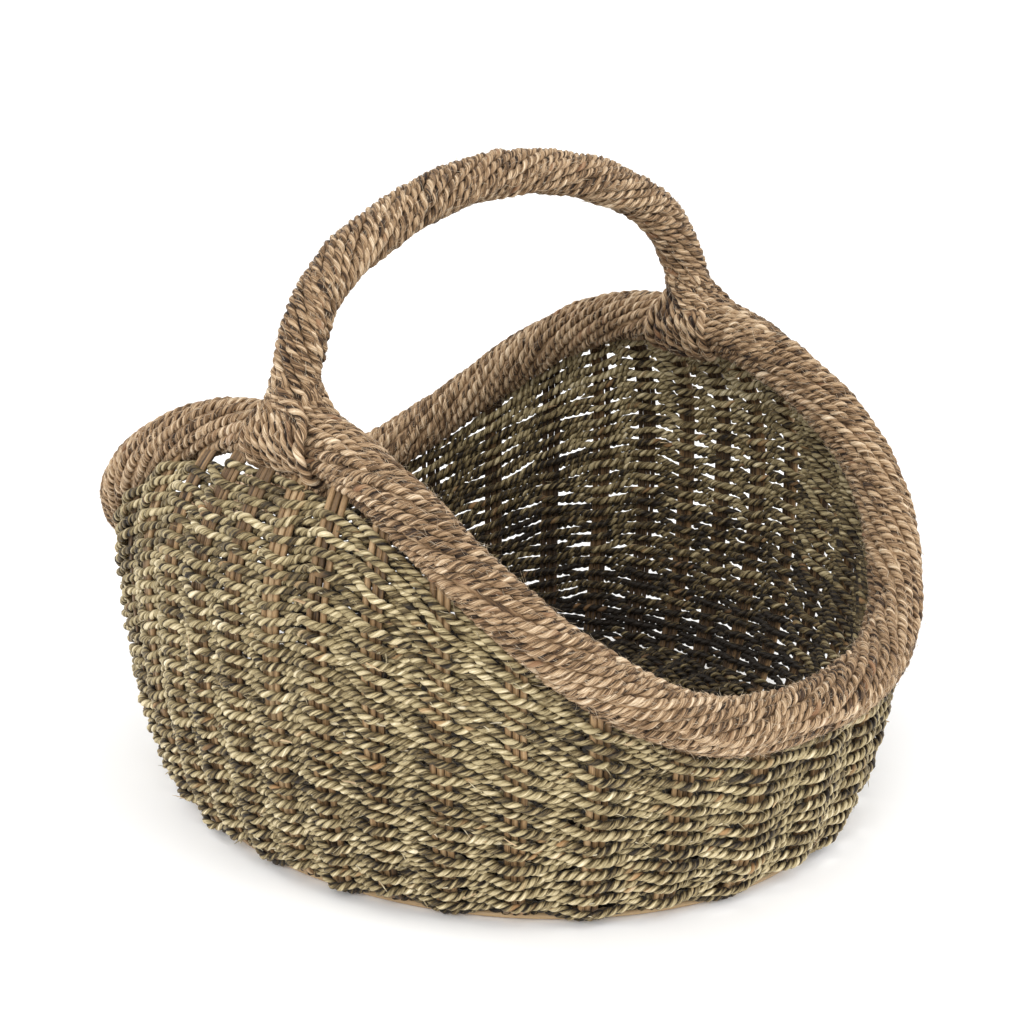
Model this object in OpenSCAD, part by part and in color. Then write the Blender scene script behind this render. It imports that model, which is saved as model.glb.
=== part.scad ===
// Seagrass storage basket: an oval woven bowl whose rim rises to the two feet of a fixed arched handle
// and dips to an open mouth at each end.
// X runs from the left handle foot to the right one, Y from the front mouth to the back mouth, Z is up.
// The origin is under the middle of the base, on the floor.

/* [Bowl] */
// Width over the wall, between the handle feet
bowl_width = 332; // [316:2:348]
// Length over the wall, between the open ends
bowl_length = 380; // [364:2:396]
// Height of the widest part of the wall
bulge_height = 118; // [115:1:121]
// Drop below the widest part at which the lower curve would close
lower_reach = 204; // [194:2:214]
// Fullness exponent of the lower curve
lower_fullness = 2.5; // [2.3:0.1:2.6]
// Rise above the widest part at which the upper curve would close
upper_reach = 115; // [112:1:120]
// Fullness exponent of the upper curve
upper_fullness = 2.1; // [2.0:0.1:2.3]
// Thickness of the woven wall
wall_thickness = 14; // [14:0.5:15]

/* [Rim] */
// Height of the rim centre at the open ends
rim_end_height = 88; // [85:1:93]
// Height of the rim centre at the handle feet
rim_foot_height = 190; // [187:1:192]
// How narrow the two raised parts of the rim are
rim_sharpness = 1.8; // [1.6:0.1:2.0]
// How much the rim fills out on its way up
rim_shoulder = 0.7; // [0.5:0.1:0.8]
// Radius of the roped rim
rim_radius = 12.2; // [11.8:0.1:12.4]
// Radius of the cane core inside the rim
rim_core_radius = 4.7; // [4:0.1:5]

/* [Weave] */
// Number of stake groups round the bowl
stake_count = 36; // [36]
// How far the stakes crowd towards the handle feet, in degrees
stake_crowding = 8.6; // [7:0.2:9]
// Thickness of one cane rod
rod_thickness = 2.9; // [2.6:0.1:3]
// Rods side by side in one stake group
rods_per_stake = 3; // [2:1:3]
// Courses that run right round the bowl, each a pair of rows that pass a stake on opposite sides
course_count = 11; // [11]
// Thickness of one row of rope
rope_thickness = 4; // [3.6:0.1:4]

/* [Base] */
// Height of the cane foot hoop
hoop_height = 4; // [3.5:0.1:4.5]
// Width of the cane foot hoop
hoop_width = 9; // [7:0.5:10]
// Distance from the outside of the wall to the hoop
hoop_inset = 11; // [10:0.5:12]
// Thickness of the woven base
base_thickness = 5; // [4:0.5:6]
// Width of one ring of the woven base
base_ring_width = 8; // [7:0.5:9]
// Radius at which the stakes end under the base
base_stake_end = 74; // [74:1:80]
// Parallel rods under the middle of the base
base_stick_count = 9; // [5:2:9]

/* [Handle] */
// Half the distance between the two legs of the handle
handle_half_width = 125; // [123:1:127]
// Height at which the arch is widest
handle_spring_height = 199; // [197:1:201]
// Rise of the arch above its widest part
handle_rise = 79; // [74:1:84]
// Radius of the arch at its shoulders
shoulder_radius = 64; // [60:1:68]
// Radius of the roped handle
handle_radius = 10.3; // [9.8:0.1:10.6]
// Radius of the cane core inside the handle
handle_core_radius = 4.5; // [4:0.1:5]
// Distance of the handle feet in front of the middle
handle_foot_shift = 7; // [4:1:8]
// Lean of the handle towards the back, in degrees
handle_lean = 9; // [6:1:10]
// Width of the rope lashing at each foot
lashing_width = 20; // [18:1:22]
// Thickness of the rope lashing
lashing_thickness = 4.2; // [3.6:0.1:4.6]

/* [Hidden] */
clearance = 0.2;
cane = "#b98b55";
seagrass = "#9c9470";
rope = "#a1815c";

// The wall starts on top of the layer of rods that lies on the hoop.
rod_floor = hoop_height + clearance;
weave_floor = rod_floor + rod_thickness + clearance;
rod_pitch = rod_thickness + clearance;
group_width = rods_per_stake * rod_pitch;

// Step from one course to the next that gets a packed pair of rows as the wall rises, which scatters the pairs
packing_stride = 7;

// Radius of the turn from the base up into the wall
stake_turn = 2.5;

// Degrees left free at each end of a half of the rim wrap or of the handle wrap
wrap_margin = 0.06;

// Sweep of the handle below the widest part of the arch, and of the lashings round the rim, in degrees
handle_foot_sweep = 12;
outer_lashing = [-38, 48];
inner_lashing = [182, 240];

plan_steps = 40;
core_steps = 48;
rim_steps = 30;
rim_sides = 12;
core_sides = 8;
stake_steps = 10;
smooth = 48;

function two_digits(n) = n < 10 ? str("0", n) : str(n);
function stake_name(i) = str("stake_", two_digits(i + 1));
function course_name(i) = str("course_", two_digits(i + 1));

// Share of the full size that the wall has at height z
function profile(z) = z < bulge_height
    ? pow(1 - pow((bulge_height - z) / lower_reach, lower_fullness), 1 / lower_fullness)
    : pow(1 - pow((z - bulge_height) / upper_reach, upper_fullness), 1 / upper_fullness);

// The plan is an ellipse: a is its angle parameter, 0 at the right foot and 90 at the back mouth.
function reach(a) = norm([bowl_width / 2 * cos(a), bowl_length / 2 * sin(a)]);
function heading(a) = atan2(bowl_length * sin(a), bowl_width * cos(a));

// Radius of the middle of the wall, and the point that stands out from it by the given offset
function wall_radius(a, z) = reach(a) * profile(z) - wall_thickness / 2;
function wall_point(a, z, offset = 0) =
    let (r = wall_radius(a, z) + offset)
    [r * cos(heading(a)), r * sin(heading(a)), z];

// Height of the rim centre: high at the feet, low at the open ends
function rise(a) = pow(cos(a) * cos(a), rim_sharpness);
function rim_height(a) = rim_end_height
    + (rim_foot_height - rim_end_height) * (rise(a) + rim_shoulder * rise(a) * (1 - rise(a)));
function rim_point(a) = wall_point(a, rim_height(a));
function rim_tangent(a) =
    let (d = rim_point(a + 0.5) - rim_point(a - 0.5))
    d / norm(d);

// Top of the weave, which stays under the rim even where the rim slopes
function rim_level(a) = norm([rim_tangent(a)[0], rim_tangent(a)[1]]);
function weave_top(a) = rim_height(a) - (rim_radius + clearance) / rim_level(a);

// Top of the stakes, which reach the rim along the leaning wall
function wall_lean(a) =
    let (z = rim_height(a) - rim_radius)
    (wall_radius(a, z + clearance) - wall_radius(a, z)) / clearance;
function stake_top(a) = rim_height(a)
    - (rim_radius + 2 * clearance) / rim_level(a) / norm([1, wall_lean(a)]);

// Stakes stand closer together at the handle feet than at the open ends.
function stake_angle(i) =
    let (u = i * 360 / stake_count)
    u - stake_crowding * sin(2 * u);
function stake_spacing(i, z) = min(
    norm(wall_point(stake_angle(i), z) - wall_point(stake_angle(i + 1), z)),
    norm(wall_point(stake_angle(i), z) - wall_point(stake_angle(i - 1), z)));

// How far a course swings to either side of a stake, so that it clears the outer rods too
function swing(i, z) = (rod_thickness / 2 + rope_thickness / 2 + clearance)
    / (1 - group_width / stake_spacing(i, z));

// Room for the weave at each stake, and for one pair of rows at the open ends
weave_rises = [for (i = [0:stake_count - 1]) weave_top(stake_angle(i)) - weave_floor];
pair_room = min(weave_rises) / course_count;
function weave_rise(i) = weave_rises[(i + stake_count) % stake_count];

// Every course has one pair all round. Up to two more are packed in after it towards the handle feet,
// each from where the wall has risen by the room for one more pair.
function has_pair(course, k, i) =
    let (order = packing_stride * course % course_count + course_count * (k - 1))
    k == 0 || weave_rise(i) > pair_room * (course_count + order + 1);
function pairs_below(course, k, i) =
    len([for (c = [0:course], p = [0:2]) if ((c < course || p < k) && has_pair(c, p, i)) p]);
row_pitches = [for (i = [0:stake_count - 1]) weave_rise(i) / pairs_below(course_count, 0, i) / 2];
function row_pitch(i) = row_pitches[(i + stake_count) % stake_count];
function row_floor(course, k, row, i) =
    weave_floor + row_pitch(i) * (2 * pairs_below(course, k, i) + (has_pair(course, k, i) ? row : 0));

// Space between rows, which is wider where they climb steeply
function row_climb(course, k, row, i) =
    abs(row_floor(course, k, row, i + 1) - row_floor(course, k, row, i - 1))
    / stake_spacing(i, bulge_height) / 2;
function row_slack(course, k, row, i) = 1.5 * clearance + 1.4 * row_climb(course, k, row, i);

// Cross-section of one row of a pair as it passes a stake, in front of it or behind it
function row_section(course, k, row, i) =
    let (
        a = stake_angle(i),
        slack = row_slack(course, k, row, i),
        tapered = !has_pair(course, k, i),
        low = row_floor(course, k, row, i) + (tapered ? -clearance / 2 : slack / 2),
        high = low + (tapered ? clearance : row_pitch(i) - slack),
        side = (i + row) % 2 == 0 ? 1 : -1,
        middle = side * swing(i, low),
        inner = middle - rope_thickness / 2,
        outer = middle + rope_thickness / 2
    )
    [wall_point(a, low, inner), wall_point(a, high, inner),
     wall_point(a, high, outer), wall_point(a, low, outer)];

// Stakes from the given one to the tapered end of a pair that is packed in on both sides of it
function packed_half(course, k, middle) =
    len([for (j = [1:stake_count / 4]) if (has_pair(course, k, middle + j)) j]) + 1;

// Solid that joins a chain of equal cross-sections, as a ring or with flat ends
module sweep(sections, ring = false) {
    sides = len(sections[0]);
    count = len(sections);
    last = ring ? count - 1 : count - 2;
    skin = [for (i = [0:last], j = [0:sides - 1])
        let (
            a = i * sides + j,
            b = i * sides + (j + 1) % sides,
            c = (i + 1) % count * sides + (j + 1) % sides,
            d = (i + 1) % count * sides + j
        )
        each [[a, c, b], [a, d, c]]];
    ends = ring ? [] : [
        [for (j = [0:sides - 1]) j],
        [for (j = [sides - 1:-1:0]) (count - 1) * sides + j]
    ];
    polyhedron([for (s = sections) each s], concat(skin, ends), convexity = 10);
}

// Tube with a bore, from matching outer and inner cross-sections
module sweep_tube(outer, inner) {
    sides = len(outer[0]);
    count = len(outer);
    shift = count * sides;
    function quad(a, b, c, d) = [[a, c, b], [a, d, c]];
    skin = [for (i = [0:count - 2], j = [0:sides - 1])
        let (a = i * sides + j, b = i * sides + (j + 1) % sides)
        each concat(
            quad(a, b, b + sides, a + sides),
            quad(shift + b, shift + a, shift + a + sides, shift + b + sides))];
    ends = [for (j = [0:sides - 1])
        let (a = j, b = (j + 1) % sides, far = (count - 1) * sides)
        each concat(
            quad(b, a, shift + a, shift + b),
            quad(far + a, far + b, shift + far + b, shift + far + a))];
    points = concat([for (s = outer) each s], [for (s = inner) each s]);
    polyhedron(points, concat(skin, ends), convexity = 10);
}

// Round cross-section of the rim, square to its run
function rim_section(a, radius, sides) =
    let (
        t = rim_tangent(a),
        up = [0, 0, 1] - t[2] * t,
        v = up / norm(up),
        w = cross(v, t)
    )
    [for (j = [0:sides - 1])
        rim_point(a) + radius * (cos(360 * j / sides) * w + sin(360 * j / sides) * v)];

// Flat band of even thickness along a planar path
module band(path, thickness) {
    count = len(path);
    normals = [for (i = [0:count - 1])
        let (d = path[min(i + 1, count - 1)] - path[max(i - 1, 0)])
        [-d[1], d[0]] / norm(d)];
    left = [for (i = [0:count - 1]) path[i] + thickness / 2 * normals[i]];
    right = [for (i = [count - 1:-1:0]) path[i] - thickness / 2 * normals[i]];
    polygon(concat(left, right));
}

// Outline of the foot of the wall in plan, moved inwards from its outside
function plan(inset) = [for (i = [0:plan_steps - 1])
    let (a = i * 360 / plan_steps, p = wall_point(a, weave_floor, wall_thickness / 2 - inset))
    [p[0], p[1]]];

module plan_ring(inset, width) {
    difference() {
        polygon(plan(inset));
        polygon(plan(inset + width));
    }
}

module foot_hoop() {
    color(cane)
    linear_extrude(hoop_height)
    plan_ring(hoop_inset, hoop_width);
}

// Rods side by side across the middle of the base, each as long as the space between the stake ends
module base_sticks() {
    room = base_stake_end - rod_thickness;
    color(cane)
    for (i = [0:base_stick_count - 1]) {
        y = (i - (base_stick_count - 1) / 2) * 2 * room / (base_stick_count + 1);
        half = sqrt(room * room - y * y) - rod_thickness;
        translate([-half, y, rod_floor + rod_thickness / 2])
        rotate([0, 90, 0])
        cylinder(d = rod_thickness, h = 2 * half, $fn = 24);
    }
}

// Rings of rope laid one inside the other on top of the rods, round a middle piece
module base_weave() {
    first = wall_thickness / 2 + swing(0, weave_floor) + rope_thickness / 2 + 2 * clearance;
    room = wall_point(0, weave_floor, wall_thickness / 2)[0] - first;
    ring_count = floor(room / base_ring_width) - 1;
    color(seagrass)
    translate([0, 0, weave_floor])
    linear_extrude(base_thickness) {
        for (i = [0:ring_count - 1]) {
            plan_ring(first + i * base_ring_width, base_ring_width - clearance);
        }
        polygon(plan(first + ring_count * base_ring_width));
    }
}

// Rods that run out under the base, turn up at the hoop and climb the wall to the rim
module stake(i) {
    a = stake_angle(i);
    foot = rod_floor + rod_thickness / 2;
    start = foot + stake_turn;
    climb = [for (s = [0:stake_steps])
        let (z = start + (stake_top(a) - start) * s / stake_steps)
        [wall_radius(a, z), z]];
    run = [[base_stake_end, foot], [wall_radius(a, weave_floor) - stake_turn, foot]];
    path = concat(run, climb);
    color(cane)
    rotate([0, 0, heading(a)])
    for (r = [0:rods_per_stake - 1]) {
        translate([0, (r - (rods_per_stake - 1) / 2) * rod_pitch, 0])
        rotate([90, 0, 0])
        linear_extrude(rod_thickness, center = true)
        band(path, rod_thickness);
    }
}

// One course right round the bowl, as two rings that cross over between the stakes
module course(c) {
    color(seagrass)
    for (row = [0:1]) {
        sweep([for (i = [0:stake_count - 1]) row_section(c, 0, row, i)], ring = true);
    }
}

// Short rows packed in between the courses on the side that is centred on the given stake.
// The upper row of each pair stops one stake before the lower one.
module packing(middle) {
    color(seagrass)
    for (c = [0:course_count - 1], k = [1:2], row = [0:1]) if (has_pair(c, k, middle + row)) {
        half = packed_half(c, k, middle) - row;
        sweep([for (i = [middle - half:middle + half]) row_section(c, k, row, i)]);
    }
}

module packing_left() {
    packing(stake_count / 2);
}

module packing_right() {
    packing(0);
}

module rim_core() {
    color(cane)
    sweep([for (i = [0:core_steps - 1])
        rim_section(i * 360 / core_steps, rim_core_radius, core_sides)], ring = true);
}

// Half of the roped rim, from one handle foot round an open end to the other foot
module rim_wrap(first_angle) {
    bore = rim_core_radius + clearance;
    angles = [for (i = [0:rim_steps])
        first_angle + wrap_margin + (180 - 2 * wrap_margin) * i / rim_steps];
    color(rope)
    sweep_tube(
        [for (a = angles) rim_section(a, rim_radius, rim_sides)],
        [for (a = angles) rim_section(a, bore, rim_sides)]);
}

module rim_wrap_front() {
    rim_wrap(180);
}

module rim_wrap_back() {
    rim_wrap(0);
}

// The arch has three centres: one for each shoulder and one for the crown.
shoulder_x = handle_half_width - shoulder_radius;
crown_radius = (shoulder_x * shoulder_x + handle_rise * handle_rise - shoulder_radius * shoulder_radius)
    / (2 * (handle_rise - shoulder_radius));
crown_drop = crown_radius - handle_rise;
shoulder_sweep = atan2(crown_drop, shoulder_x);

// Place for the handle: its feet stand on the rim and its crown leans back.
module on_rim() {
    translate([0, -handle_foot_shift, rim_foot_height])
    rotate([-handle_lean, 0, 0])
    translate([0, 0, handle_spring_height - rim_foot_height])
    rotate([90, 0, 0])
    children();
}

// Right shoulder of the arch, swept from the given round or ring-shaped cross-section
module shoulder() {
    translate([shoulder_x, 0, 0])
    rotate([0, 0, -handle_foot_sweep])
    rotate_extrude(angle = handle_foot_sweep + shoulder_sweep, $fn = smooth)
    translate([shoulder_radius, 0])
    children();
}

// Crown of the arch, from the right shoulder over the given angle
module crown(angle) {
    translate([0, -crown_drop, 0])
    rotate([0, 0, shoulder_sweep])
    rotate_extrude(angle = angle, $fn = smooth)
    translate([crown_radius, 0])
    children();
}

// Straight stand-in for the rim under the right handle foot, used to cut and to place what sits on it
module rim_foot_bar(radius, width) {
    translate([rim_point(0)[0], -handle_foot_shift, rim_foot_height])
    rotate([90, 0, 0])
    cylinder(r = radius, h = width, center = true, $fn = smooth);
}

// What stands on the right foot is cut to the top of the rim.
module on_right_foot() {
    difference() {
        on_rim() children();
        rim_foot_bar(rim_radius + 4 * clearance, 4 * handle_radius);
    }
}

module wrap_section() {
    difference() {
        circle(r = handle_radius, $fn = smooth);
        circle(r = handle_core_radius + clearance, $fn = smooth);
    }
}

module core_section() {
    circle(r = handle_core_radius, $fn = smooth);
}

module handle_wrap() {
    half_crown = 90 - shoulder_sweep - wrap_margin;
    color(rope)
    on_right_foot() {
        shoulder() wrap_section();
        crown(half_crown) wrap_section();
    }
}

module handle_wrap_right() {
    handle_wrap();
}

module handle_wrap_left() {
    mirror([1, 0, 0])
    handle_wrap();
}

module handle_core() {
    color(cane) {
        on_right_foot() shoulder() core_section();
        on_rim() crown(180 - 2 * shoulder_sweep) core_section();
        mirror([1, 0, 0])
        on_right_foot() shoulder() core_section();
    }
}

// Ends of the handle rope, laid over the outside and the inside of the rim
module lashing_tongue(span) {
    translate([rim_point(0)[0], -handle_foot_shift, rim_foot_height])
    rotate([90, 0, 0])
    rotate([0, 0, span[0]])
    rotate_extrude(angle = span[1] - span[0], $fn = smooth)
    translate([rim_radius + 4 * clearance, -lashing_width / 2])
    square([lashing_thickness, lashing_width]);
}

module lashing() {
    color(rope) {
        lashing_tongue(outer_lashing);
        lashing_tongue(inner_lashing);
    }
}

module lashing_right() {
    lashing();
}

module lashing_left() {
    mirror([1, 0, 0])
    lashing();
}

foot_hoop();
base_sticks();
base_weave();
for (i = [0:stake_count - 1]) stake(i);
for (i = [0:course_count - 1]) course(i);
packing_left();
packing_right();
rim_core();
rim_wrap_front();
rim_wrap_back();
handle_core();
handle_wrap_left();
handle_wrap_right();
lashing_left();
lashing_right();
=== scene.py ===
import math

import bpy
import numpy as np
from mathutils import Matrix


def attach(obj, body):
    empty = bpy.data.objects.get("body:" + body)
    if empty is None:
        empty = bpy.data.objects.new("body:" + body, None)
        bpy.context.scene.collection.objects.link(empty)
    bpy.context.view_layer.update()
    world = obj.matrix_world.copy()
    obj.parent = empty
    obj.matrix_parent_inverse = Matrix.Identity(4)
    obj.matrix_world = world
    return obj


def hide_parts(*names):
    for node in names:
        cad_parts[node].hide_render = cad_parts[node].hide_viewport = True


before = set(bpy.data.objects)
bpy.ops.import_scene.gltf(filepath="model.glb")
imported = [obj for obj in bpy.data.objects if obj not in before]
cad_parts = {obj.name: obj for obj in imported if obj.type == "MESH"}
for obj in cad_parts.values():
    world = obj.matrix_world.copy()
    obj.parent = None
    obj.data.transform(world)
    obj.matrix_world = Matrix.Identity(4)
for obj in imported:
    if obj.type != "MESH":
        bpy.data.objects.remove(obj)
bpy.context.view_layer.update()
scene = bpy.context.scene
rng = np.random.default_rng(7)
TAU = 2 * math.pi
METRE = 0.001

# ---------------------------------------------------------------------------
# The basket's shape, in millimetres and degrees, as the CAD model has it
# ---------------------------------------------------------------------------
BOWL_WIDTH, BOWL_LENGTH, WALL = 332.0, 380.0, 14.0
BULGE_HEIGHT, LOWER_REACH, LOWER_FULLNESS = 118.0, 204.0, 2.5
UPPER_REACH, UPPER_FULLNESS = 115.0, 2.1
RIM_END, RIM_FOOT, RIM_SHARPNESS, RIM_SHOULDER = 88.0, 190.0, 1.8, 0.7
RIM_RADIUS = 12.2
STAKES, CROWDING, ROD = 36, 8.6, 2.9
COURSES, COURSE_STRIDE, WEAVE_FLOOR = 11, 7, 7.3
BASE_STAKE_END, STAKE_FOOT = 74.0, 5.7
HOOP_INSET, HOOP_THICK, HOOP_WIDE = 11.0, 4.0, 9.0
HANDLE_HALF, HANDLE_SPRING, HANDLE_RISE, SHOULDER = 125.0, 199.0, 79.0, 64.0
HANDLE_SHIFT, HANDLE_LEAN = 7.0, 9.0

# How many ropes there are, their diameters, the room that each takes, and the length in which the two
# plies turn once
WALL_ROPE, WALL_TURN = 4.15, 8.2
BASE_ROPE, BASE_PITCH, BASE_MIDDLE_ROPE, BASE_MIDDLE_PITCH = 4.2, 3.1, 4.7, 4.3
RIM_ROPES, RIM_ROPE, RIM_STRAYS, RIM_STRAY = 14, 4.6, 24, 4.3
HANDLE_ROPES, HANDLE_ROPE, HANDLE_STRAYS, HANDLE_STRAY = 12, 4.3, 22, 4.1
LASHING_ROPE, LASHING_TURN = 4.6, 10.0
FLARE_ROPES, FLARE_ROPE, FLARE_TURN = 9, 4.4, 10.4
BROWN_TURN = 10.6

# How far the laid ropes are from the middle of the core, and the radius of the bed under them
RIM_ROPES_AT, RIM_BED = 9.9, 9.5
HANDLE_ROPES_AT, HANDLE_BED = 8.1, 7.6


def unit(v):
    return v / np.maximum(np.linalg.norm(v, axis=-1, keepdims=True), 1e-9)


def profile(z):
    """The wall's share of the full plan at a height. Two superellipses meet at the bulge."""
    z = np.asarray(z, float)
    low = 1 - np.clip((BULGE_HEIGHT - z) / LOWER_REACH, 0, 0.999) ** LOWER_FULLNESS
    high = 1 - np.clip((z - BULGE_HEIGHT) / UPPER_REACH, 0, 0.999) ** UPPER_FULLNESS
    return np.where(z < BULGE_HEIGHT, low ** (1 / LOWER_FULLNESS), high ** (1 / UPPER_FULLNESS))


def wall_point(a, z, offset=0.0):
    """A point in the middle of the wall at angle a and height z, or offset outwards from it"""
    a = np.radians(a)
    x, y = BOWL_WIDTH / 2 * np.cos(a), BOWL_LENGTH / 2 * np.sin(a)
    plan = np.hypot(x, y)
    r = plan * profile(z) - WALL / 2 + offset
    return np.stack([r * x / plan, r * y / plan, z + 0 * r], -1)


def wall_normal(a, z):
    da = wall_point(a + 0.5, z) - wall_point(a - 0.5, z)
    dz = wall_point(a, z + 0.5) - wall_point(a, z - 0.5)
    return unit(np.cross(da, dz))


def rim_height(a):
    c = np.cos(np.radians(a))
    rise = (c * c) ** RIM_SHARPNESS
    return RIM_END + (RIM_FOOT - RIM_END) * (rise + RIM_SHOULDER * rise * (1 - rise))


def rim_point(a):
    return wall_point(a, rim_height(a))


def rim_axes(a):
    """Along the rim, outwards and up, all square to each other"""
    t = unit(rim_point(a + 0.25) - rim_point(a - 0.25))
    up = unit(np.array([0, 0, 1.0]) - t * t[..., 2:3])
    return t, np.cross(t, up), up


def weave_top(a):
    """The height at which the wrap of the rim covers the wall"""
    t = rim_axes(a)[0]
    return rim_height(a) - (RIM_RADIUS + 0.2) / np.hypot(t[..., 0], t[..., 1])


def stake_angle(i):
    """The angle of stake i, or of a place between two stakes. Stakes crowd towards the handle feet."""
    u = i * 360.0 / STAKES
    return u - CROWDING * np.sin(np.radians(2 * u))


WEAVE_RISES = np.array([float(weave_top(stake_angle(i))) - WEAVE_FLOOR for i in range(STAKES)])
PAIR_ROOM = WEAVE_RISES.min() / COURSES


def has_pair(course, k, i):
    """Whether course has its k-th packed pair of rows at stake i. Pair 0 runs right round."""
    order = COURSE_STRIDE * course % COURSES + COURSES * (k - 1)
    return k == 0 or WEAVE_RISES[i % STAKES] > PAIR_ROOM * (COURSES + order + 1)


def pairs_below(course, k, i):
    return sum(has_pair(c, p, i) for c in range(min(course + 1, COURSES)) for p in range(3)
               if c < course or p < k)


ROW_PITCH = [WEAVE_RISES[i] / pairs_below(COURSES, 0, i) / 2 for i in range(STAKES)]


def row_middle(course, k, row, i):
    """Height of a row of a pair at a stake"""
    share = row + 0.5 if has_pair(course, k, i) else 0.0
    return WEAVE_FLOOR + ROW_PITCH[i % STAKES] * (2 * pairs_below(course, k, i) + share)


# ---------------------------------------------------------------------------
# Lines and curves
# ---------------------------------------------------------------------------
def wobble(s, length):
    """Smooth random curve, about -1 to 1, that changes over the given length"""
    waves = 4
    total = 0
    for _ in range(waves):
        total = total + np.sin(s * TAU / (length * rng.uniform(0.6, 2.2)) + rng.uniform(0, TAU))
    return total / math.sqrt(waves * 2)


def tangents(line, ring=False):
    if ring:
        return unit(np.roll(line, -1, 0) - np.roll(line, 1, 0))
    return unit(np.gradient(line, axis=0))


def lengths_along(line):
    return np.append(0, np.cumsum(np.linalg.norm(np.diff(line, axis=0), axis=1)))


def resample(line, extra, step, ring=False):
    """Even steps along a line, with other columns carried along, and the line's length"""
    data = np.concatenate([line] + [e.reshape(len(line), -1) for e in extra], 1)
    if ring:
        data = np.concatenate([data, data[:1]])
    s = lengths_along(data[:, :3])
    n = max(6, int(round(s[-1] / step)))
    at = np.linspace(0, s[-1], n + 1)
    even = np.stack([np.interp(at, s, column) for column in data.T], 1)
    return (even[:-1] if ring else even), s[-1]


def smooth_between(values, u):
    """Smooth curve through one value a step, for u counted in steps. Past the ends the last values hold."""
    values = np.asarray(values, float)
    i = np.clip(np.floor(u).astype(int), 0, len(values) - 2)
    f = u - i
    a, b, c, d = (values[np.clip(i + k, 0, len(values) - 1)] for k in (-1, 0, 1, 2))
    square = a - 2.5 * b + 2 * c - d / 2
    cube = 1.5 * (b - c) + (d - a) / 2
    return b + f * (c - a) / 2 + f ** 2 * square + f ** 3 * cube


def curve_through(points):
    """Smooth line through a few points"""
    points = np.asarray(points, float)
    u = np.linspace(0, len(points) - 1, 40 * (len(points) - 1))
    return np.stack([smooth_between(points[:, k], u) for k in range(3)], -1)


def turned_from(psi, out, up):
    """Directions turned by the angles psi from out towards up"""
    return np.cos(psi)[:, None] * out + np.sin(psi)[:, None] * up


# ---------------------------------------------------------------------------
# Strands: tubes that become one mesh
# ---------------------------------------------------------------------------
PLY_LIFT, PLY_THICK, PLY_WIDE = 0.215, 0.285, 0.31  # shares of the rope's diameter
PLY_TAKE_UP = 1.3                                   # a ply is about this much longer than its rope
STEPS_A_TURN = 10.5


class Bundle:
    def __init__(self):
        self.parts = []

    def tube(self, centre, normal, side, thick, wide, tone, along, sides=6, ring=False, seam_shade=0.0,
             shade=None):
        """centre, normal, side: (n, 3). thick, wide, tone, along: (n,). The seam faces -normal and is
        darker by the seam amount, a painted shade. shade is (outwards, amount): what faces inwards is
        darker by the amount, a painted shade."""
        n = len(centre)
        spin = math.pi + TAU * np.arange(sides) / sides
        co = (centre[:, None] + (thick[:, None] * np.cos(spin))[..., None] * normal[:, None]
              + (wide[:, None] * np.sin(spin))[..., None] * side[:, None])
        rows = np.arange(n if ring else n - 1)
        i, j = np.meshgrid(rows, np.arange(sides), indexing="ij")
        i2, j2 = (i + 1) % n, (j + 1) % sides
        quads = np.stack([i * sides + j, i2 * sides + j, i2 * sides + j2, i * sides + j2], -1)
        u = np.append(along, along[-1] + along[1] - along[0])
        v = np.arange(sides + 1) / sides
        uv = np.stack([np.stack([u[i], v[j]], -1), np.stack([u[i + 1], v[j]], -1),
                       np.stack([u[i + 1], v[j + 1]], -1), np.stack([u[i], v[j + 1]], -1)], -2)
        quads, uv = quads.reshape(-1, 4), uv.reshape(-1, 4, 2)
        if not ring and sides > 3:
            fan = [(0, k, k + 1, k + 2) for k in range(1, sides - 2, 2)]
            last = (n - 1) * sides
            caps = np.array(fan + [tuple(last + q for q in reversed(f)) for f in fan])
            quads = np.concatenate([quads, caps])
            uv = np.concatenate([uv, np.full((len(caps), 4, 2), 0.5) + [along[0], 0]])
        # painted shade: the seam side, facing -normal, is darker by the seam amount, standing in for shade
        # in the crevice
        tone = tone[:, None] - seam_shade * (1 - np.cos(spin)) / 2
        # painted shade: sides that face away from outwards are darker by the amount
        if shade is not None:
            outwards, amount = shade
            facing = np.sum(unit(co - centre[:, None]) * outwards[:, None], -1)
            tone = tone - amount[:, None] * (1 - facing) / 2
        self.parts.append((co.reshape(-1, 3), quads, uv, tone.ravel()))

    def build(self, name, material, slot, nodes=()):
        """Makes one piece of all tubes. nodes are the CAD nodes that it replaces."""
        starts = np.append(0, np.cumsum([len(part[0]) for part in self.parts]))
        co = np.concatenate([part[0] for part in self.parts]) * METRE
        quad = np.concatenate([part[1] + start for part, start in zip(self.parts, starts)])
        mesh = bpy.data.meshes.new(name)
        mesh.vertices.add(len(co))
        mesh.vertices.foreach_set("co", co.ravel())
        mesh.loops.add(quad.size)
        mesh.loops.foreach_set("vertex_index", quad.ravel())
        mesh.polygons.add(len(quad))
        mesh.polygons.foreach_set("loop_start", np.arange(len(quad)) * 4)
        mesh.update(calc_edges=True)
        mesh.polygons.foreach_set("use_smooth", np.ones(len(quad), bool))
        layer = mesh.uv_layers.new(name="strand")
        layer.data.foreach_set("uv", np.concatenate([part[2] for part in self.parts]).ravel())
        value = mesh.attributes.new("tone", "FLOAT", "POINT")
        value.data.foreach_set("value", np.concatenate([part[3] for part in self.parts]))
        mesh.materials.append(material)
        piece = bpy.data.objects.new(name, mesh)
        scene.collection.objects.link(piece)
        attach(piece, "root")
        if nodes:
            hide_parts(*nodes)


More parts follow.
